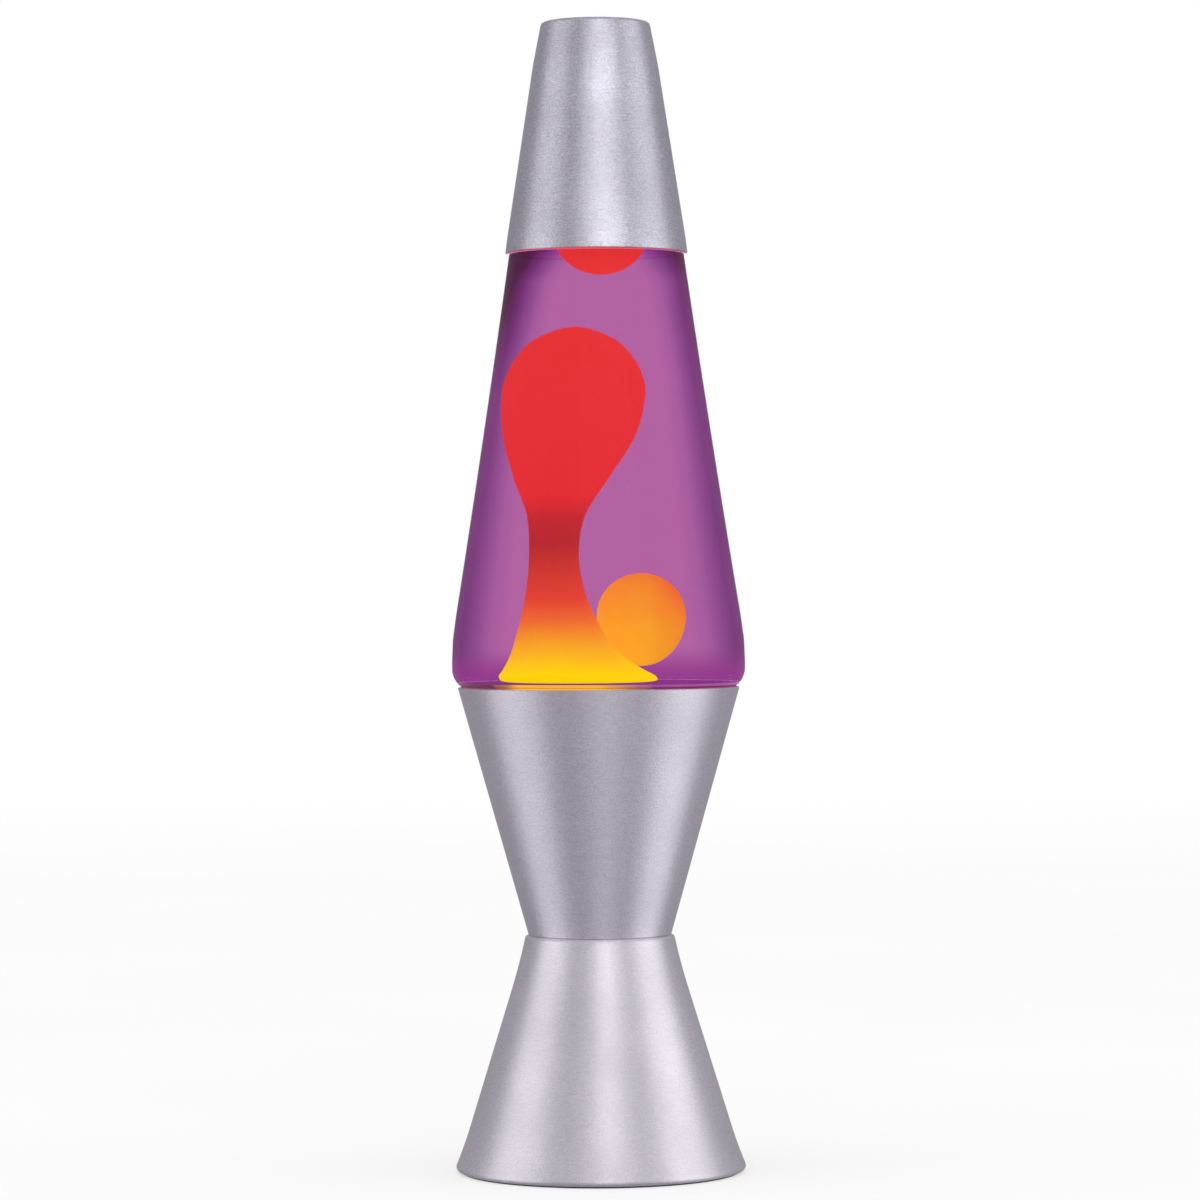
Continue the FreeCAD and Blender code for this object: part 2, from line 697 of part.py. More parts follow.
def top_cap():
    return turned_body("top_cap", [
        ("cap_rim", "cap_low"),
        ("cap_lower_radius", "cap_lower_z"),
        ("cap_upper_radius", "cap_upper_z"),
        ("cap_edge_radius", "cap_edge_z"),
        ("cap_flat", "lamp_height", "cap_edge_curve", "left"),
        ("0", "lamp_height"),
        ("0", "lamp_height - cap_wall"),
        ("cap_flat", "lamp_height - cap_wall"),
        ("cap_edge_radius - cap_wall", "cap_edge_z", "cap_edge_curve - cap_wall", "right"),
        ("cap_upper_radius - cap_wall", "cap_upper_z"),
        ("cap_lower_radius - cap_wall", "cap_lower_z"),
        ("cap_rim - cap_wall", "cap_low"),
    ])


# ---------------------------------------------------------------- assembly and export

def check_document():
    for item in doc.Objects:
        bad = [state for state in item.State if state in ("Invalid", "Error")]
        if bad:
            raise RuntimeError(f"{item.Label}: {bad}")
    for part in parts:
        if part.Shape.isNull() or not part.Shape.isValid():
            raise RuntimeError(f"{part.Label} has no valid shape")


def export_parts():
    os.makedirs("parts", exist_ok=True)
    for part in parts:
        part.Shape.exportStep(f"parts/{part.Label}.step")
        box = part.Shape.BoundBox
        print(f"{part.Label:22s} solids {len(part.Shape.Solids)}  volume {part.Shape.Volume:11.2f}  "
              f"z {box.ZMin:8.3f} to {box.ZMax:8.3f}")


fill_sheet()
base_stand()
base_cup()
waist_rivets()
cord_bushing()
bottom_cover()
foot_ring()
socket_body()
socket_ring_nut()
socket_screw_shell()
socket_contact()
terminal_screws()
bulb_parts()
filament()
filament_supports()
globe_bottle()
crown_cap()
crown_liner()
wax_and_liquid(wire_coil())
top_cap()
doc.recompute()
check_document()
export_parts()
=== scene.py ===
import math

import bmesh
import bpy
from mathutils import Matrix, Vector


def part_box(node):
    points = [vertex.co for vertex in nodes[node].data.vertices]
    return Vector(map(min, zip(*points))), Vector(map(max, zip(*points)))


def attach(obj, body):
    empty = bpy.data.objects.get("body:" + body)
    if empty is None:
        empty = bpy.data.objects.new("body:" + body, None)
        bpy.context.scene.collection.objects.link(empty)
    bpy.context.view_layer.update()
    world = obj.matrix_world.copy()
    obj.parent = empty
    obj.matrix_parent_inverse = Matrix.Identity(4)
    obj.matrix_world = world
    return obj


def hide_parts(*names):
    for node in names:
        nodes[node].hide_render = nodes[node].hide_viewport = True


# A wax lamp of spun, brushed aluminium: stand, cup, glass globe with violet liquid and glowing
# wax, and a cap. Outlines are in millimetres, as (radius, height) from the foot's centre.
# Meshes are in metres, in the frame of the CAD model.
MM = 0.001

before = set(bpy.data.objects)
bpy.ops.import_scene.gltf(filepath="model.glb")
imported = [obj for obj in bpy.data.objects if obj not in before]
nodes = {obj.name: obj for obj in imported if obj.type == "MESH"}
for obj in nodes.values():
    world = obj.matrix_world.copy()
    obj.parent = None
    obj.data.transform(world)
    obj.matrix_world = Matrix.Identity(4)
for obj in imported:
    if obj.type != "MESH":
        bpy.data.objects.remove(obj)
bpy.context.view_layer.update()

WHITE = (1.0, 1.0, 1.0, 1.0)
LAVENDER = (0.92, 0.86, 0.97, 1.0)
# Near-black base of surfaces whose whole look is painted glow.
UNLIT_BLACK = (0.02, 0.0, 0.01, 1.0)

# Light and dark tones of the brushed metal on each spun part.
CAP_TONES = (0.86, 0.84, 0.94, 1.0), (0.43, 0.415, 0.47, 1.0)
CUP_TONES = (0.95, 0.90, 1.0, 1.0), (0.68, 0.64, 0.72, 1.0)
STAND_TONES = (0.97, 0.91, 0.985, 1.0), (0.70, 0.665, 0.725, 1.0)

# Heights of zones of painted light and shade, in metres.
CAP_LIP = 0.2943
CAP_GLOW_TOP = 0.3243
HEEL_LOWER = 0.1554, 0.1556
HEEL_UPPER = 0.1558, 0.1561
NECK_CLEAR = 0.318, 0.328
NECK_SHADE = 0.245, 0.296
CAP_SHADE = 0.2865, 0.2985
DEEP_SHADE = 0.1685, 0.1580
WAX_LOW = 0.156
WAX_HIGH = 0.271
BALL_TOP_SHADE = 0.173, 0.192
DROP_TOP_SHADE = 0.286, 0.300

# Left and right ends of the wax column's foot, in metres.
FOOT_LEFT = -0.0319
FOOT_RIGHT = 0.0185


# ---------------------------------------------------------------- shader helpers

def srgb(red, green, blue):
    """A linear colour from 0-255 display values."""
    def linear(value):
        value /= 255.0
        return value / 12.92 if value <= 0.04045 else ((value + 0.055) / 1.055) ** 2.4
    return (linear(red), linear(green), linear(blue), 1.0)


class NodeTree:
    """The nodes of a material or world, with short ways to add and join them."""

    def __init__(self, owner, output):
        owner.use_nodes = True
        self.tree = owner.node_tree
        self.tree.nodes.clear()
        self.output = self.add(output)

    def add(self, kind, inputs=None, **settings):
        node = self.tree.nodes.new("ShaderNode" + kind)
        for key, value in settings.items():
            setattr(node, key, value)
        for key, value in (inputs or {}).items():
            self.feed(node.inputs[key], value)
        return node

    def feed(self, socket, value):
        if isinstance(value, bpy.types.NodeSocket):
            self.tree.links.new(value, socket)
        else:
            socket.default_value = value

    def maths(self, operation, first, second=0.0, third=0.0, clamp=False):
        node = self.add("Math", {0: first, 1: second, 2: third}, operation=operation)
        node.use_clamp = clamp
        return node.outputs[0]

    def span(self, value, low, high, to_low=0.0, to_high=1.0, smooth=False):
        node = self.add("MapRange", {"Value": value, "From Min": low, "From Max": high,
                                     "To Min": to_low, "To Max": to_high})
        if smooth:
            node.interpolation_type = "SMOOTHSTEP"
        return node.outputs[0]

    def blend(self, factor, first, second, mode="MIX"):
        node = self.add("Mix", data_type="RGBA", blend_type=mode)
        self.feed(node.inputs["Factor"], factor)
        self.feed(node.inputs["A"], first)
        self.feed(node.inputs["B"], second)
        return node.outputs["Result"]

    def ramp(self, value, stops):
        node = self.add("ValToRGB", {"Fac": value})
        ramp = node.color_ramp
        while len(ramp.elements) < len(stops):
            ramp.elements.new(1.0)
        for element, (position, colour) in zip(ramp.elements, stops):
            element.position = position
            element.color = colour
        return node.outputs["Color"]


class Shader(NodeTree):
    """A material. Its patterns are placed in the lamp's own space, in metres."""

    def __init__(self, name):
        self.material = bpy.data.materials.new(name)
        super().__init__(self.material, "OutputMaterial")
        self.place = self.add("TexCoord").outputs["Object"]

    def stretch(self, scale):
        return self.add("Mapping", {"Vector": self.place, "Scale": scale}).outputs[0]

    def noise(self, scale, detail=2.0, roughness=0.5):
        """Noise whose features are 1 / scale metres along x, y and z."""
        if not isinstance(scale, tuple):
            scale = (scale, scale, scale)
        inputs = {"Vector": self.stretch(scale), "Scale": 1.0, "Detail": detail,
                  "Roughness": roughness, "Distortion": 0.0}
        return self.add("TexNoise", inputs).outputs[0]

    def axis(self, letter):
        return self.add("SeparateXYZ", {"Vector": self.place}).outputs[letter]

    def facing(self):
        """0 where the surface is seen straight on, 1 where it is seen at a glancing angle."""
        return self.add("LayerWeight", {"Blend": 0.5}).outputs["Facing"]

    def outward(self):
        """1 on faces that look away from the lamp's axis, 0 on all others."""
        flat = self.stretch((1.0, 1.0, 0.0))
        normal = self.add("NewGeometry").outputs["Normal"]
        away = self.add("VectorMath", {0: normal, 1: flat}, operation="DOT_PRODUCT")
        least = 0.005
        return self.maths("GREATER_THAN", away.outputs["Value"], least)

    def bump(self, value, depth, strength=1.0):
        inputs = {"Height": value, "Distance": depth, "Strength": strength}
        return self.add("Bump", inputs).outputs[0]

    def finish(self, shader):
        self.tree.links.new(shader, self.output.inputs["Surface"])
        return self.material

    def principled(self, **inputs):
        named = {key.replace("_", " "): value for key, value in inputs.items()}
        return self.add("BsdfPrincipled", named).outputs[0]

    def surface(self, **inputs):
        """Finish the material with one Principled shader."""
        return self.finish(self.principled(**inputs))


def mirror_share(s, straight_on, strength):
    """How much a clear surface mirrors: little straight on, much at a glancing angle."""
    return s.maths("MULTIPLY_ADD", s.maths("POWER", s.facing(), 5.0), strength, straight_on)


# ---------------------------------------------------------------- materials

BRUSHING = (110.0, 110.0, 2300.0)


def brushed_aluminium(name, light, dark):
    """Spun aluminium: fine scratches that run round the lamp, small specks and soft clouding."""
    s = Shader(name)
    grain = s.noise(BRUSHING, 3.0, 0.65)
    streak = s.noise((450.0, 450.0, 2600.0), 2.0, 0.6)
    speck = s.noise((1800.0, 1800.0, 2400.0), 2.0, 0.7)
    cloud = s.noise(38.0, 3.0, 0.55)
    mixed = s.maths("MULTIPLY_ADD", grain, 0.12, s.maths("MULTIPLY", streak, 0.26))
    mixed = s.maths("MULTIPLY_ADD", speck, 0.62, mixed)
    level = s.span(mixed, 0.36, 0.64)
    colour = s.blend(level, dark, light)
    colour = s.blend(s.span(cloud, 0.35, 0.65, 0.0, 0.25), colour, dark)
    rough = s.maths("MULTIPLY_ADD", level, 0.10, s.span(cloud, 0.3, 0.7, 0.30, 0.38))
    tangent = s.add("Tangent", direction_type="RADIAL", axis="Z").outputs[0]
    return s.surface(Base_Color=colour, Metallic=1.0, Roughness=rough, Anisotropic=0.75,
                     Anisotropic_Rotation=0.25, Tangent=tangent, Normal=s.bump(mixed, 0.00015, 1.0))


def cap_inside():
    """The cap's bare inside, with the lamp's violet light painted on it near the lip as a glow."""
    s = Shader("cap_inside_glow")
    glow = s.ramp(s.span(s.axis("Z"), CAP_LIP, CAP_GLOW_TOP), [
        (0.00, LAVENDER), (0.14, (0.66, 0.48, 0.81, 1.0)), (0.40, (0.16, 0.08, 0.19, 1.0)),
        (1.00, (0.02, 0.01, 0.02, 1.0)),
    ])
    lines = s.noise(BRUSHING, 2.0)
    bare = s.blend(s.span(lines, 0.35, 0.65), (0.45, 0.44, 0.48, 1.0), (0.56, 0.55, 0.60, 1.0))
    return s.surface(Base_Color=bare, Metallic=0.8, Roughness=0.55, Emission_Color=glow,
                     Emission_Strength=1.0, Normal=s.bump(lines, 0.00003, 0.4))


def lip_glow():
    """Painted red light of the wax on the cap's inner lip, with the pale inside of the cap behind it
    painted as a glow too.
    """
    s = Shader("cap_lip_glow")
    red = s.ramp(s.span(s.axis("X"), -0.028, 0.028), [
        (0.0, srgb(205, 50, 120)), (0.3, srgb(235, 62, 80)), (0.7, srgb(215, 58, 85)),
        (1.0, srgb(185, 45, 105)),
    ])
    uneven = s.noise(160.0, 2.0)
    red = s.blend(s.span(uneven, 0.35, 0.65, 0.0, 0.35), red, srgb(150, 40, 90))
    glow = s.blend(s.outward(), LAVENDER, red)
    return s.surface(Base_Color=UNLIT_BLACK, Roughness=0.5, Emission_Color=glow, Emission_Strength=0.95)


# Three bands of painted light and shade on the glass's thick heel, from below: painted shade at the
# left of the wax foot, the wax's painted glow before the foot, and painted shade at the right.
HEEL_BANDS = [
    (srgb(140, 60, 98), srgb(254, 218, 8), srgb(125, 62, 75)),
    (srgb(110, 40, 64), srgb(238, 136, 50), srgb(102, 44, 92)),
    (srgb(86, 38, 60), srgb(251, 186, 38), srgb(158, 68, 150)),
]


def heel_glow():
    """Painted light and shade of the thick heel of the glass: the wax's glow where its foot stands,
    wine-red shade at the left of it and violet shade at the right. Its inner faces, which pass on the
    light, are painted pale."""
    s = Shader("glass_heel_glow")
    wave = s.maths("MULTIPLY", s.maths("SUBTRACT", s.noise(130.0, 2.0), 0.5), 0.012)
    x = s.maths("ADD", s.axis("X"), wave)
    left = s.span(x, FOOT_LEFT, FOOT_LEFT + 0.009)
    right = s.span(x, FOOT_RIGHT - 0.002, 0.0)
    glow = s.maths("MULTIPLY", left, right)
    rightward = s.span(x, -0.020, FOOT_RIGHT)
    lower, middle, upper = [
        s.blend(glow, s.blend(rightward, wine, violet), wax) for wine, wax, violet in HEEL_BANDS]
    z = s.axis("Z")
    colour = s.blend(s.span(z, *HEEL_LOWER), lower, middle)
    colour = s.blend(s.span(z, *HEEL_UPPER), colour, upper)
    colour = s.blend(s.outward(), (0.95, 0.95, 0.95, 1.0), colour)
    return s.surface(Base_Color=UNLIT_BLACK, Roughness=0.3, Emission_Color=colour, Emission_Strength=0.95)


def globe_glass():
    """Clear bottle glass with faint ripples, which shows what is behind it. Its empty neck has painted
    shade at its edges, where it is seen at a glancing angle, as thick glass looks."""
    s = Shader("globe_glass")
    ripple = s.bump(s.noise((40.0, 40.0, 12.0), 2.0), 0.0004, 0.25)
    shine = s.add("BsdfGlossy", {"Color": WHITE, "Roughness": 0.05, "Normal": ripple})
    # Painted shade on the empty neck's glancing edges.
    edge = s.maths("MULTIPLY", s.maths("POWER", s.facing(), 1.5), s.span(s.axis("Z"), *NECK_CLEAR))
    tint = s.blend(edge, (0.992, 0.996, 0.996, 1.0), (0.36, 0.41, 0.43, 1.0))
    clear = s.add("BsdfTransparent", {"Color": tint})
    share = s.maths("MULTIPLY", mirror_share(s, 0.0004, 0.3), s.outward())
    mix = s.add("MixShader", {0: share, 1: clear.outputs[0], 2: shine.outputs[0]})
    return s.finish(mix.outputs[0])


# The liquid's tint for each reach: 0 is the middle of the globe, 1 its rim, and more is shade; the
# darkening from the middle outwards is painted shade.
FULL_REACH = 1.4
VIOLETS = [
    (0.64, (180, 99, 162)), (0.75, (168, 92, 158)), (0.86, (142, 73, 142)),
    (0.97, (118, 50, 117)), (1.10, (82, 34, 70)), (1.40, (76, 34, 62)),
]


def violet_liquid():
    """Clear violet liquid. Its far side carries the tint, with painted shade: deeper where the round
    globe turns away, in the neck's shadow, more at the left, under the cap and low down."""
    s = Shader("violet_liquid")
    cosine = s.maths("SUBTRACT", 1.0, s.facing())
    side = s.maths("SQRT", s.maths("SUBTRACT", 1.0, s.maths("MULTIPLY", cosine, cosine)))
    z = s.axis("Z")
    # Painted shadow of the neck, deeper at the left, and painted shade under the cap.
    neck = s.span(z, *NECK_SHADE, smooth=True)
    shade = s.maths("MULTIPLY", neck, s.span(s.axis("X"), -0.01, 0.022, 0.20, 0.06))
    under_cap = s.span(z, *CAP_SHADE, 0.0, 0.22)
    reach = s.maths("ADD", s.maths("ADD", side, shade), under_cap)
    stops = [(at / FULL_REACH, srgb(*colour)) for at, colour in VIOLETS]
    tint = s.ramp(s.maths("DIVIDE", reach, FULL_REACH), stops)
    drift = s.noise(30.0, 2.0)
    tint = s.blend(s.span(drift, 0.3, 0.7, 0.0, 0.06), tint, srgb(196, 104, 172))
    # Painted shade low down.
    tint = s.blend(s.span(z, *DEEP_SHADE, 0.0, 0.9, smooth=True), tint, srgb(150, 58, 142))
    behind = s.add("NewGeometry").outputs["Backfacing"]
    clear = s.add("BsdfTransparent", {"Color": s.blend(behind, WHITE, tint)})
    return s.finish(clear.outputs[0])


def glowing_wax(name, colour_of, mottle):
    """Molten wax with the light from below painted on as a glow, with a soft skin and faint mottling.
    """
    s = Shader(name)
    colour = colour_of(s)
    spots = s.noise(mottle, 3.0, 0.6)
    colour = s.blend(s.span(spots, 0.35, 0.7, 0.0, 0.10), colour, srgb(255, 120, 60), "SOFT_LIGHT")
    return s.surface(Base_Color=s.blend(0.8, colour, (0.02, 0.0, 0.0, 1.0)), Roughness=0.55,
                     Specular_IOR_Level=0.1, Emission_Color=colour, Emission_Strength=0.93,
                     Normal=s.bump(spots, 0.0002, 0.3))


def column_colour(s):
    """Yellow at the foot, orange above it, dull red at the neck and bright red in the head."""
    wave = s.noise((60.0, 60.0, 20.0), 2.0)
    level = s.span(s.axis("Z"), WAX_LOW, WAX_HIGH)
    level = s.maths("MULTIPLY_ADD", s.maths("SUBTRACT", wave, 0.5), 0.025, level)
    return s.ramp(level, [
        (0.03, srgb(253, 216, 4)), (0.07, srgb(251, 193, 28)), (0.18, srgb(235, 108, 49)),
        (0.24, srgb(222, 69, 50)), (0.40, srgb(176, 43, 47)), (0.46, srgb(190, 43, 49)),
        (0.53, srgb(225, 47, 52)), (1.00, srgb(228, 53, 53)),
    ])


def ball_colour(s):
    """Orange, with painted shade that makes it redder towards the top and the lamp's right."""
    up = s.span(s.axis("Z"), *BALL_TOP_SHADE)
    right = s.span(s.axis("X"), 0.016, 0.029)
    cloud = s.noise(120.0, 3.0, 0.6)
    red = s.maths("ADD", s.maths("MULTIPLY", up, 0.75), s.maths("MULTIPLY", right, 0.6))
    red = s.maths("MULTIPLY_ADD", s.maths("SUBTRACT", cloud, 0.5), 0.35, red, clamp=True)
    return s.ramp(red, [
        (0.0, srgb(243, 163, 42)), (0.5, srgb(240, 142, 44)), (1.0, srgb(235, 102, 47)),
    ])


def drop_colour(s):
    """Bright red, a little deeper towards the top, as painted shade."""
    level = s.span(s.axis("Z"), *DROP_TOP_SHADE)
    return s.ramp(level, [(0.0, srgb(228, 56, 52)), (1.0, srgb(226, 46, 55))])


def moulded(name, colour, roughness, grain_scale, depth, spread=0.3):
    """Moulded plastic, rubber or fibre: fine grain, uneven gloss and slight wear."""
    s = Shader(name)
    grain = s.noise(grain_scale, 3.0, 0.6)
    cloud = s.noise(grain_scale / 25.0, 2.0)
    dark = tuple(c * (1.0 - spread) for c in colour[:3]) + (1.0,)
    light = tuple(min(1.0, c * (1.0 + spread)) for c in colour[:3]) + (1.0,)
    shown = s.blend(s.span(grain, 0.35, 0.65), dark, light)
    shown = s.blend(s.span(cloud, 0.4, 0.7, 0.0, 0.4), shown, colour)
    rough = s.span(cloud, 0.3, 0.7, roughness - 0.08, roughness + 0.08)
    return s.surface(Base_Color=shown, Roughness=rough, Normal=s.bump(grain, depth, 0.5))


def plain_metal(name, colour, roughness, tarnish):
    """Turned or rolled metal with fine lines round the lamp's axis and a little tarnish."""
    s = Shader(name)
    lines = s.noise((120.0, 120.0, 3000.0), 2.0)
    stain = s.noise(260.0, 3.0, 0.6)
    shown = s.blend(s.span(stain, 0.5, 0.75, 0.0, 0.6), colour, tarnish)
    shown = s.blend(s.span(lines, 0.35, 0.65, 0.0, 0.2), shown, (0.9, 0.9, 0.9, 1.0), "MULTIPLY")
    return s.surface(Base_Color=shown, Metallic=1.0, Normal=s.bump(lines, 0.00003, 0.4),
                     Roughness=s.maths("MULTIPLY_ADD", stain, 0.2, roughness))


def bulb_glass():
    """Clear thin bulb glass, with the warmth of the light inside it painted into its tint."""
    s = Shader("bulb_glass_clear")
    film = s.noise(90.0, 2.0)
    shine = s.add("BsdfGlossy", {"Color": (1.0, 0.98, 0.95, 1.0), "Roughness": 0.04})
    tint = s.blend(s.span(film, 0.3, 0.7), (0.97, 0.93, 0.86, 1.0), (0.93, 0.87, 0.78, 1.0))
    clear = s.add("BsdfTransparent", {"Color": tint})
    share = mirror_share(s, 0.03, 0.8)
    mix = s.add("MixShader", {0: share, 1: clear.outputs[0], 2: shine.outputs[0]})
    return s.finish(mix.outputs[0])


def hot_tungsten():
    """Bright, slightly uneven glow of the filament."""
    s = Shader("hot_tungsten")
    heat = s.noise(700.0, 2.0)
    glow = s.blend(s.span(heat, 0.3, 0.7), (1.0, 0.62, 0.25, 1.0), (1.0, 0.75, 0.40, 1.0))
    return s.surface(Base_Color=(0.2, 0.19, 0.18, 1.0), Metallic=1.0, Roughness=0.4,
                     Emission_Color=glow, Emission_Strength=30.0)


# ---------------------------------------------------------------- mesh helpers

def along_arc(start, end, radius, turn, steps):
    """Points after start, up to end, on an arc that bends to the left or right on its way."""
    chord = end - start
    half = chord.length / 2
    rise = math.sqrt(max(radius * radius - half * half, 0.0))
    side = Vector((-chord.y, chord.x)).normalized() * (rise if turn == "left" else -rise)
    centre = start + chord / 2 + side
    first = math.atan2(start.y - centre.y, start.x - centre.x)
    sweep = 2 * math.asin(min(1.0, half / radius)) * (1 if turn == "left" else -1)
    angles = [first + sweep * step / steps for step in range(1, steps + 1)]
    return [centre + radius * Vector((math.cos(a), math.sin(a))) for a in angles]


def outline(corners, arc_steps=10, line_step=6.0):
    """Points of a closed outline. A corner is (radius, height), or (radius, height, arc radius,
    turn) where an arc leads to it. Long straight lines are divided."""
    points = []
    before = Vector(corners[-1][:2])
    for corner in corners:
        here = Vector(corner[:2])
        if len(corner) == 4:
            points += along_arc(before, here, corner[2], corner[3], arc_steps)
        else:
            count = max(1, int((here - before).length / line_step))
            points += [before.lerp(here, step / count) for step in range(1, count + 1)]
        before = here
    return [(max(0.0, point.x), point.y) for point in points]


def straight(radius, z, angle):
    return (radius * math.cos(angle), radius * math.sin(angle), z)


def turned(points, steps=256, shape=straight):
    """Vertices and faces of a solid turned round the axis. shape places (radius, z, angle)."""
    vertices = []
    rings = []
    for radius, z in points:
        count = steps if radius > 1e-6 else 1
        rings.append(range(len(vertices), len(vertices) + count))
        vertices += [shape(radius, z, 2 * math.pi * step / steps) for step in range(count)]
    faces = []
    for lower, upper in zip(rings, rings[1:] + rings[:1]):
        if len(lower) == 1 and len(upper) == 1:
            continue
        for step in range(steps):
            after = (step + 1) % steps
            corners = [lower[step % len(lower)], lower[after % len(lower)],
                       upper[after % len(upper)], upper[step % len(upper)]]
            faces.append(list(dict.fromkeys(corners)))
    return vertices, faces


def tube(points, radius, sides=10, closed=False):
    """Vertices and faces of a round wire that follows points."""
    path = [Vector(point) for point in points]
    count = len(path)
    vertices = []
    normal = None
    for index, point in enumerate(path):
        after = path[(index + 1) % count] if closed else path[min(index + 1, count - 1)]
        before = path[index - 1] if closed else path[max(index - 1, 0)]
        along = (after - before).normalized()
        if normal is None:
            normal = along.orthogonal().normalized()
        normal = (normal - along * normal.dot(along)).normalized()
        across = along.cross(normal)
        for side in range(sides):
            angle = 2 * math.pi * side / sides
            outward = math.cos(angle) * normal + math.sin(angle) * across
            vertices.append(tuple(point + radius * outward))
    faces = []
    for index in range(count if closed else count - 1):
        here = index * sides
        there = (index + 1) % count * sides
        for side in range(sides):
            after = (side + 1) % sides
            faces.append([here + side, here + after, there + after, there + side])
    if not closed:
        faces.append(list(range(sides))[::-1])
        faces.append([(count - 1) * sides + side for side in range(sides)])
    return vertices, faces


def winding(centre, ring, coil_radius, turns, steps_per_turn, sweep):
    """Points of a coil that is bent round a centre on a ring, through the angle sweep."""
    count = turns * steps_per_turn
    points = []
    for index in range(count + 1):
        share = index / count
        angle = sweep * share
        wind = 2 * math.pi * turns * share
        radius = ring + coil_radius * math.cos(wind)
        points.append((centre.x + radius * math.cos(angle), centre.y + radius * math.sin(angle),
                       centre.z + coil_radius * math.sin(wind)))
    return points


def smooth_curve(points, steps):
    """Points on a smooth curve through tuples of numbers, whose first and last only steer it."""
    curve = []
    for index in range(1, len(points) - 2):
        p0, p1, p2, p3 = points[index - 1:index + 3]
        for step in range(steps):
            t = step / steps
            curve.append(tuple(
                0.5 * (2 * b + (c - a) * t + (2 * a - 5 * b + 4 * c - d) * t * t
                       + (3 * b - a - 3 * c + d) * t * t * t)
                for a, b, c, d in zip(p0, p1, p2, p3)))
    curve.append(points[-2])
    return curve


def piece(name, shape, material, body, stands_for=(), sharp=35.0, at=None):
    """Make an object of the lamp from vertices and faces in millimetres."""
    vertices, faces = shape
    mesh = bpy.data.meshes.new(name)
    mesh.from_pydata(vertices, [], faces)
    mesh.transform(Matrix.Scale(MM, 4))
    if at is not None:
        mesh.transform(at)
    work = bmesh.new()
    work.from_mesh(mesh)
    bmesh.ops.recalc_face_normals(work, faces=work.faces)
    work.to_mesh(mesh)
    work.free()
    mesh.polygons.foreach_set("use_smooth", [True] * len(mesh.polygons))
    mesh.set_sharp_from_angle(angle=math.radians(sharp))
    mesh.materials.append(material)
    thing = bpy.data.objects.new(name, mesh)
    bpy.context.scene.collection.objects.link(thing)
    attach(thing, body)
    if stands_for:
        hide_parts(*stands_for)
    return thing


def finish_node(name, material):
    """Put a material on a CAD part that no piece replaces."""
    slots = nodes[name].data.materials
    slots.clear()
    slots.append(material)


# ---------------------------------------------------------------- spun aluminium

def spun_cap():
    """The cap's thin shell, its inside in a material of its own with a painted glow near the lip, and
    the painted glow on its lip.
    """
    cap = outline([
        (28.93, 294.35), (29.18, 294.6, 0.25, "left"), (28.7, 298.6), (20.0, 355.0),
        (17.65, 366.95), (16.3, 368.3, 1.4, "left"), (0.0, 368.3), (0.0, 367.6), (16.3, 367.6),
        (16.95, 366.95, 0.7, "right"), (19.3, 355.0), (28.0, 298.6), (28.48, 294.6),
        (28.73, 294.35, 0.25, "left"),
    ])
    outside = brushed_aluminium("cap_aluminium", *CAP_TONES)
    shell = piece("cap_shell", turned(cap), outside, "cap", ["top_cap"])
    shell.data.materials.append(cap_inside())
    # Faces towards the axis and under the crown take the inside's material, with its painted glow.
    for face in shell.data.polygons:
        radial = face.normal.x * face.center.x + face.normal.y * face.center.y
        under_crown = face.normal.z < -0.5 and face.center.z > 0.36
        face.material_index = 1 if radial < 0 or under_crown else 0

    # A thin ring inside the cap's lip that carries only painted light.
    lip = outline([(28.42, 293.95), (28.7, 293.95), (28.7, 294.6), (28.42, 294.6)], 4)
    piece("cap_lip_painted_light", turned(lip), lip_glow(), "cap")


def spun_cup():
    """The cup that holds the globe, with its floor at the waist and a rounded rim."""
    cup = outline([
        (13.3, 75.9), (22.4, 75.9), (23.0, 76.4, 0.6, "left"), (45.13, 155.0),
        (44.23, 155.0, 0.5, "left"), (22.3, 77.6), (21.5, 76.8, 0.8, "right"), (13.3, 76.8),
    ])
    metal = brushed_aluminium("cup_aluminium", *CUP_TONES)
    piece("cup_shell", turned(cup), metal, "base", ["base_cup"])


def spun_stand():
    """The flared stand, with its deck at the waist and a foot rolled inwards."""
    stand = outline([
        (13.3, 74.9), (22.75, 74.9), (26.86, 60.05, 205.0, "left"), (41.05, 13.9),
        (45.37, 1.99, 140.0, "left"), (45.04, 1.5, 0.36, "right"), (41.2, 1.5), (41.2, 0.5),
        (45.04, 0.5), (46.3, 2.37, 1.36, "left"), (42.1, 13.9, 140.0, "right"), (27.86, 60.05),
        (24.1, 74.55, 205.0, "right"), (22.75, 75.9, 1.35, "left"), (13.3, 75.9),
    ])
    metal = brushed_aluminium("stand_aluminium", *STAND_TONES)
    piece("stand_shell", turned(stand), metal, "base", ["base_stand"])


# ---------------------------------------------------------------- globe

GLASS_ARC_STEPS = 14


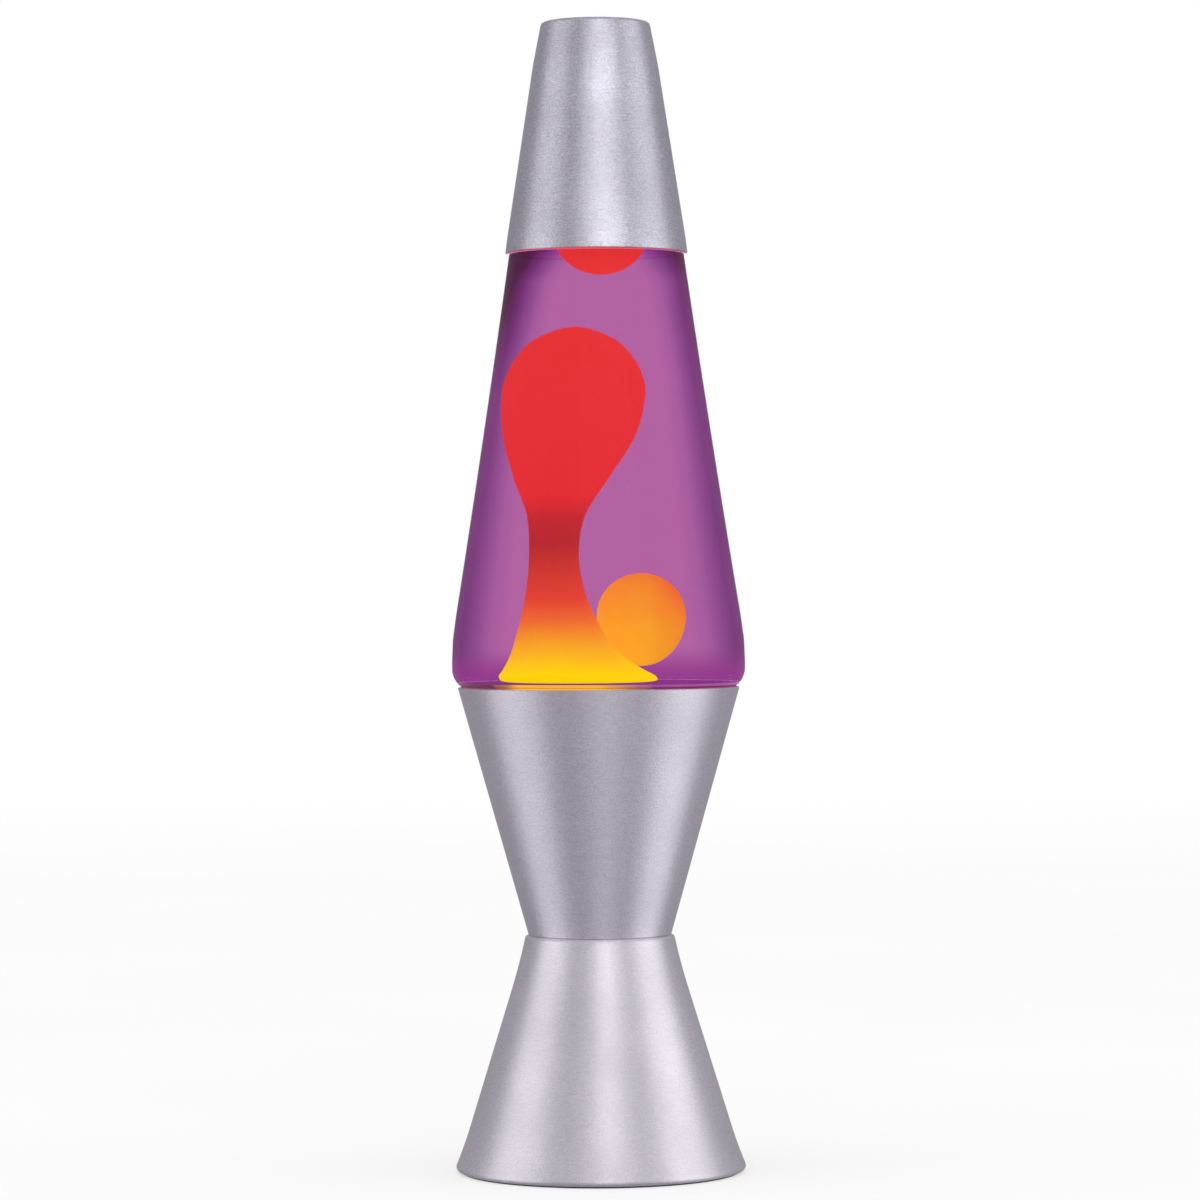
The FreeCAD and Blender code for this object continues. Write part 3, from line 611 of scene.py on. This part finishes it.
def globe_parts():
    """The glass bottle, the liquid in it, the painted glow in its heel and its closure."""
    wall = outline([
        (0.0, 156.7), (39.8, 156.7), (44.4, 161.3, 4.6, "left"), (44.4, 163.5), (44.1, 170.5),
        (43.1, 178.0), (25.5, 293.5, 6000.0, "right"), (24.1, 302.06), (19.55, 308.73, 9.3, "left"),
        (11.3, 323.3, 16.78, "right"), (11.3, 328.0), (8.5, 332.0), (8.5, 341.1),
        (8.9, 341.5, 0.4, "right"), (11.1, 341.5), (13.1, 339.5, 2.0, "right"), (13.1, 338.1),
        (12.6, 337.1), (12.6, 334.6), (14.0, 333.6), (14.0, 323.3), (20.9, 311.07, 14.08, "left"),
        (26.75, 302.5, 12.0, "right"), (28.2, 293.5), (45.8, 178.0, 6000.0, "left"),
        (46.8, 170.5), (47.1, 163.5), (47.1, 161.3), (39.8, 154.0, 7.3, "right"),
        (36.0, 154.0), (33.0, 154.8), (0.0, 154.8),
    ], GLASS_ARC_STEPS)
    piece("globe_glass_wall", turned(wall), globe_glass(), "globe", ["globe_bottle"])

    skin = 0.15
    liquid = outline([
        (0.0, 156.75), (45.3, 156.75), (47.1 - skin, 161.3, 7.3 - skin, "left"),
        (47.1 - skin, 163.5), (46.8 - skin, 170.5), (45.8 - skin, 178.0),
        (28.2 - skin, 293.5, 6000.0, "right"), (26.75 - skin, 302.5),
        (20.9 - skin, 311.07, 12.0, "left"), (14.0 - skin, 323.3, 14.08 + skin, "right"),
        (14.0 - skin, 326.6), (12.9, 327.0, 0.9, "right"), (0.0, 326.9),
    ], GLASS_ARC_STEPS)
    piece("liquid_body", turned(liquid), violet_liquid(), "globe", ["lava_fluid"])
    fluted_crown()
    # A ring under the liquid, in the glass's heel, that carries only painted light and shade.
    heel = outline([
        (42.85, 154.8), (45.31, 156.77, 7.18, "left"), (45.05, 156.7), (44.2, 156.7), (41.8, 154.8),
    ])
    piece("heel_painted_light", turned(heel), heel_glow(), "globe")
    liner = moulded("soft_liner", (0.75, 0.72, 0.62, 1.0), 0.6, 900.0, 0.00005)
    finish_node("crown_liner", liner)


def fluted_crown():
    """The pressed crown over the bottle's mouth, whose skirt ripples round in 21 flutes."""
    flutes = 21
    flute_depth = 0.55
    shoulder = 340.6
    fade = 3.4
    skirt_radius = 12.0

    def ripple(radius, z, angle):
        below = min(1.0, max(0.0, (shoulder - z) / fade))
        depth = flute_depth * below if radius > skirt_radius else 0.0
        return straight(radius - depth * (0.5 - 0.5 * math.cos(flutes * angle)), z, angle)

    crown = outline([
        (0.0, 342.3), (11.9, 342.3), (13.7, 340.3, 2.2, "right"), (14.7, 336.2), (15.2, 336.2),
        (14.2, 340.3), (11.9, 342.8, 2.7, "left"), (0.0, 342.8),
    ], 8, 1.0)
    steel = plain_metal("plated_steel", (0.62, 0.60, 0.58, 1.0), 0.28, (0.42, 0.38, 0.33, 1.0))
    shape = turned(crown, flutes * 16, ripple)
    piece("crown_fluted", shape, steel, "globe", ["crown_cap"])


# ---------------------------------------------------------------- wax

# The wax column from the middle of its foot to the top of its head: height, centre x and y,
# radius. The rows before and after steer the curve so that foot and head close roundly.
WAX_COLUMN = [
    (156.9, -6.0, -3.0, -20.0), (156.9, -6.0, -3.0, 0.0), (156.95, -6.0, -3.0, 22.0),
    (158.5, -6.7, -3.0, 25.2), (161.0, -8.2, -3.5, 22.4), (165.0, -10.2, -4.2, 18.3),
    (171.5, -12.0, -4.8, 14.4), (184.0, -13.5, -4.7, 9.9), (197.0, -14.1, -4.0, 8.0),
    (210.0, -13.4, -3.1, 9.3), (222.5, -11.6, -2.2, 15.4), (235.5, -9.1, -1.4, 21.2),
    (248.0, -7.7, -1.0, 23.1), (255.0, -7.3, -1.0, 21.9), (261.0, -7.2, -1.0, 18.7),
    (267.0, -7.2, -1.0, 12.4), (270.8, -7.0, -1.0, 0.0), (267.0, -7.0, -1.0, -12.4),
]
WAX_STEPS = 96
NO_CREASES = 180.0


def wax_parts():
    """The column, the free ball, the drop under the cap and the coil of wire in the foot."""
    column = glowing_wax("wax_column_glow", column_colour, 300.0)
    piece("wax_flow", wax_column(), column, "globe", ["wax_column"], NO_CREASES)
    ball = glowing_wax("wax_ball_glow", ball_colour, 420.0)
    piece("wax_bubble", wax_lump(14.75, 15.0, 0.035, 1.3), ball,
          "floating_ball", ["wax_ball"], NO_CREASES, centre_of("wax_ball"))
    drop = glowing_wax("wax_drop_glow", drop_colour, 300.0)
    piece("wax_hanging", wax_lump(15.35, 12.9, 0.02, 2.6), drop,
          "top_drop", ["wax_drop"], NO_CREASES, centre_of("wax_drop"))
    wax_spring()


def wax_column():
    """Rings of the column, a little out of round from front to back."""
    vertices = []
    starts = []
    for z, x, y, radius in smooth_curve(WAX_COLUMN, 9):
        count = WAX_STEPS if radius > 0.01 else 1
        starts.append((len(vertices), count))
        for step in range(count):
            angle = 2 * math.pi * step / WAX_STEPS
            swell = 1.0 + 0.018 * math.sin(3 * angle + z / 9.0) * math.sin(z / 17.0)
            across = radius * math.cos(angle)
            vertices.append((x + across, y + radius * swell * math.sin(angle), z))
    faces = []
    for (low, low_count), (high, high_count) in zip(starts, starts[1:]):
        for step in range(WAX_STEPS):
            after = (step + 1) % WAX_STEPS
            corners = [low + step % low_count, low + after % low_count,
                       high + after % high_count, high + step % high_count]
            faces.append(list(dict.fromkeys(corners)))
    return vertices, faces


def centre_of(node):
    low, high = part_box(node)
    return Matrix.Translation((low + high) / 2)


def wax_lump(radius, half_height, unevenness, turn):
    """A rounded lump of floating wax, a little egg-shaped and uneven, about its own centre."""
    def uneven(ring, z, angle):
        level = z / half_height
        wobble = math.sin(2 * angle + turn) * math.cos(1.6 * level + turn)
        grown = 1.0 - unevenness * (0.5 + 0.5 * wobble)
        lean = 1.0 + unevenness * 0.9 * level
        return straight(min(ring * grown * lean, radius), z, angle)

    rings = 48
    points = []
    for index in range(rings + 1):
        angle = math.pi * index / rings
        ring = radius * math.sin(angle) if 0 < index < rings else 0.0
        points.append((ring, -half_height * math.cos(angle)))
    return turned(points, WAX_STEPS, uneven)


def wax_spring():
    """The springy coil of wire in the wax's foot, bent round into a ring."""
    low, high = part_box("wire_coil")
    centre = (low + high) / 2 / MM
    coil_radius = 1.5
    ring = (high.x - low.x) / 2 / MM - 1.8
    points = winding(centre, ring, coil_radius, 46, 12, 2 * math.pi)[:-1]
    steel = plain_metal("spring_steel", (0.58, 0.57, 0.55, 1.0), 0.3, (0.40, 0.35, 0.30, 1.0))
    piece("spring_ring", tube(points, 0.28, 6, True), steel, "globe", ["wire_coil"])


# ---------------------------------------------------------------- socket, bulb and fittings

def hidden_parts():
    """Materials of the CAD parts that stay, all of them inside or under the lamp."""
    phenolic = moulded("black_phenolic", (0.022, 0.020, 0.019, 1.0), 0.38, 1200.0, 0.00003)
    rubber = moulded("black_rubber", (0.018, 0.018, 0.019, 1.0), 0.7, 1600.0, 0.00005)
    fibre = moulded("black_fibre", (0.030, 0.028, 0.027, 1.0), 0.85, 700.0, 0.0001, 0.5)
    vitrite = moulded("black_vitrite", (0.012, 0.011, 0.014, 1.0), 0.18, 500.0, 0.00002)
    brass = plain_metal("brass", (0.78, 0.57, 0.26, 1.0), 0.26, (0.48, 0.32, 0.14, 1.0))
    rivet = plain_metal("rivet_aluminium", (0.74, 0.73, 0.76, 1.0), 0.30, (0.55, 0.54, 0.56, 1.0))
    shell = plain_metal("bulb_metal", (0.76, 0.74, 0.70, 1.0), 0.24, (0.52, 0.47, 0.40, 1.0))
    solder = plain_metal("solder", (0.60, 0.59, 0.58, 1.0), 0.42, (0.38, 0.36, 0.34, 1.0))
    for name in ("socket_body", "socket_ring_nut"):
        finish_node(name, phenolic)
    for name in ("socket_screw_shell", "socket_contact", "terminal_screws"):
        finish_node(name, brass)
    finish_node("waist_rivets", rivet)
    finish_node("cord_bushing", rubber)
    finish_node("bottom_cover", fibre)
    finish_node("foot_ring", rubber)
    finish_node("bulb_screw_base", shell)
    finish_node("bulb_base_insulator", vitrite)
    finish_node("bulb_contact", solder)
    clear = bulb_glass()
    finish_node("bulb_glass", clear)
    finish_node("bulb_stem", clear)
    wire = plain_metal("support_wire", (0.5, 0.49, 0.47, 1.0), 0.35, (0.3, 0.28, 0.26, 1.0))
    finish_node("filament_supports", wire)
    coiled_filament()


def coiled_filament():
    """The finely coiled filament, in a half ring between its supports."""
    low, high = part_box("filament")
    centre = Vector(((low.x + high.x) / 2, 0.0, (low.z + high.z) / 2)) / MM
    coil_radius = 0.32
    ring = (high.x - low.x) / 2 / MM - 0.45
    points = winding(centre, ring, coil_radius, 38, 10, math.pi)
    piece("filament_coil", tube(points, 0.1, 6), hot_tungsten(), "bulb", ["filament"])


# ---------------------------------------------------------------- stage, lights and camera

def build_floor():
    """A pale floor, half lit by itself, that fades out in the distance."""
    s = Shader("pale_floor")
    patches = s.span(s.noise(3.0), 0.3, 0.7)
    shade = s.blend(patches, (0.43, 0.43, 0.43, 1.0), (0.45, 0.45, 0.45, 1.0))
    solid = s.principled(Base_Color=shade, Roughness=0.9, Specular_IOR_Level=0.0,
                         Emission_Color=WHITE, Emission_Strength=0.5)
    distance = s.add("VectorMath", {0: s.place}, operation="LENGTH").outputs["Value"]
    fade = s.span(distance, 0.5, 3.0, smooth=True)
    clear = s.add("BsdfTransparent").outputs[0]
    s.finish(s.add("MixShader", {0: fade, 1: solid, 2: clear}).outputs[0])

    half = 8
    corners = [(-half, -half, 0), (half, -half, 0), (half, half, 0), (-half, half, 0)]
    mesh = bpy.data.meshes.new("floor")
    mesh.from_pydata(corners, [], [[0, 1, 2, 3]])
    mesh.materials.append(s.material)
    floor = bpy.data.objects.new("floor", mesh)
    floor.visible_glossy = False
    floor.visible_shadow = False
    bpy.context.scene.collection.objects.link(floor)


def soft_box(name, azimuth, distance, z, size, radiance, aim_z, spread=180):
    """A softbox at an angle from the lamp's front, aimed at a height on the lamp's axis. A grid
    over it narrows its spread."""
    data = bpy.data.lights.new(name, "AREA")
    data.shape = "RECTANGLE"
    data.size, data.size_y = size
    data.energy = radiance * math.pi * size[0] * size[1]
    data.spread = math.radians(spread)
    light = bpy.data.objects.new(name, data)
    turn = math.radians(azimuth)
    place = Vector((distance * math.sin(turn), -distance * math.cos(turn), z))
    light.location = place
    light.rotation_euler = (Vector((0, 0, aim_z)) - place).to_track_quat("-Z", "Y").to_euler()
    bpy.context.scene.collection.objects.link(light)


CAP_BOXES = [
    ("cap_box_left", -14, 0.055), ("cap_box_middle", 8, 0.045), ("cap_box_right", 30, 0.085),
]


def build_lights():
    """Boxes at both sides and in front, one low box for the cup, and gridded ones for the cap."""
    soft_box("left_box", -77, 1.2, 0.15, (1.10, 1.6), 0.62, 0.15)
    soft_box("right_box", 78, 1.2, 0.15, (1.10, 1.6), 0.74, 0.15)
    soft_box("front_box", 8, 1.9, 0.80, (0.72, 1.0), 1.55, 0.2)
    soft_box("table_box", 4, 1.6, -0.62, (0.45, 0.6), 0.5, 0.12)
    for name, azimuth, radiance in CAP_BOXES:
        soft_box(name, azimuth, 1.9, 0.9, (0.75, 0.35), radiance, 0.335, 16)


# Brightness of the room that gloss reflects: axis of the direction, its span, and the
# brightness at both ends of it.
ROOM_LEVELS = [("Z", -0.8, 0.8, 0.27, 0.58), ("Y", -0.6, 0.9, 1.0, 0.80), ("X", -1.0, 1.0, 0.93, 1.07)]
ROOM_TINT = {"Red": 1.0, "Green": 0.985, "Blue": 1.05}


def build_world():
    """White all round, except in gloss, which reflects a softly graded room."""
    world = bpy.data.worlds.new("studio")
    bpy.context.scene.world = world
    s = NodeTree(world, "OutputWorld")
    way = s.add("SeparateXYZ", {"Vector": s.add("TexCoord").outputs["Generated"]})
    level = 1.0
    for axis, low, high, first, last in ROOM_LEVELS:
        level = s.maths("MULTIPLY", level, s.span(way.outputs[axis], low, high, first, last))
    channels = {name: s.maths("MULTIPLY", level, share) for name, share in ROOM_TINT.items()}
    room = s.add("CombineColor", channels).outputs[0]
    gloss = s.add("LightPath").outputs["Is Glossy Ray"]
    sky = s.add("Background", {"Color": s.blend(gloss, WHITE, room)})
    s.tree.links.new(sky.outputs[0], s.output.inputs["Surface"])


def place_camera():
    data = bpy.data.cameras.new("camera")
    data.sensor_width = 36.0
    data.lens = 143.1
    data.shift_y = -0.0145
    data.clip_end = 50.0
    camera = bpy.data.objects.new("camera", data)
    camera.location = (0.0006, -1.53, 0.1887)
    camera.rotation_euler = (math.pi / 2, math.radians(0.3), 0.0)
    bpy.context.scene.collection.objects.link(camera)
    bpy.context.scene.camera = camera
    bpy.context.scene.view_settings.view_transform = "Standard"
    bpy.context.scene.cycles.transparent_max_bounces = 24


spun_cap()
spun_cup()
spun_stand()
globe_parts()
wax_parts()
hidden_parts()
build_floor()
build_lights()
build_world()
place_camera()
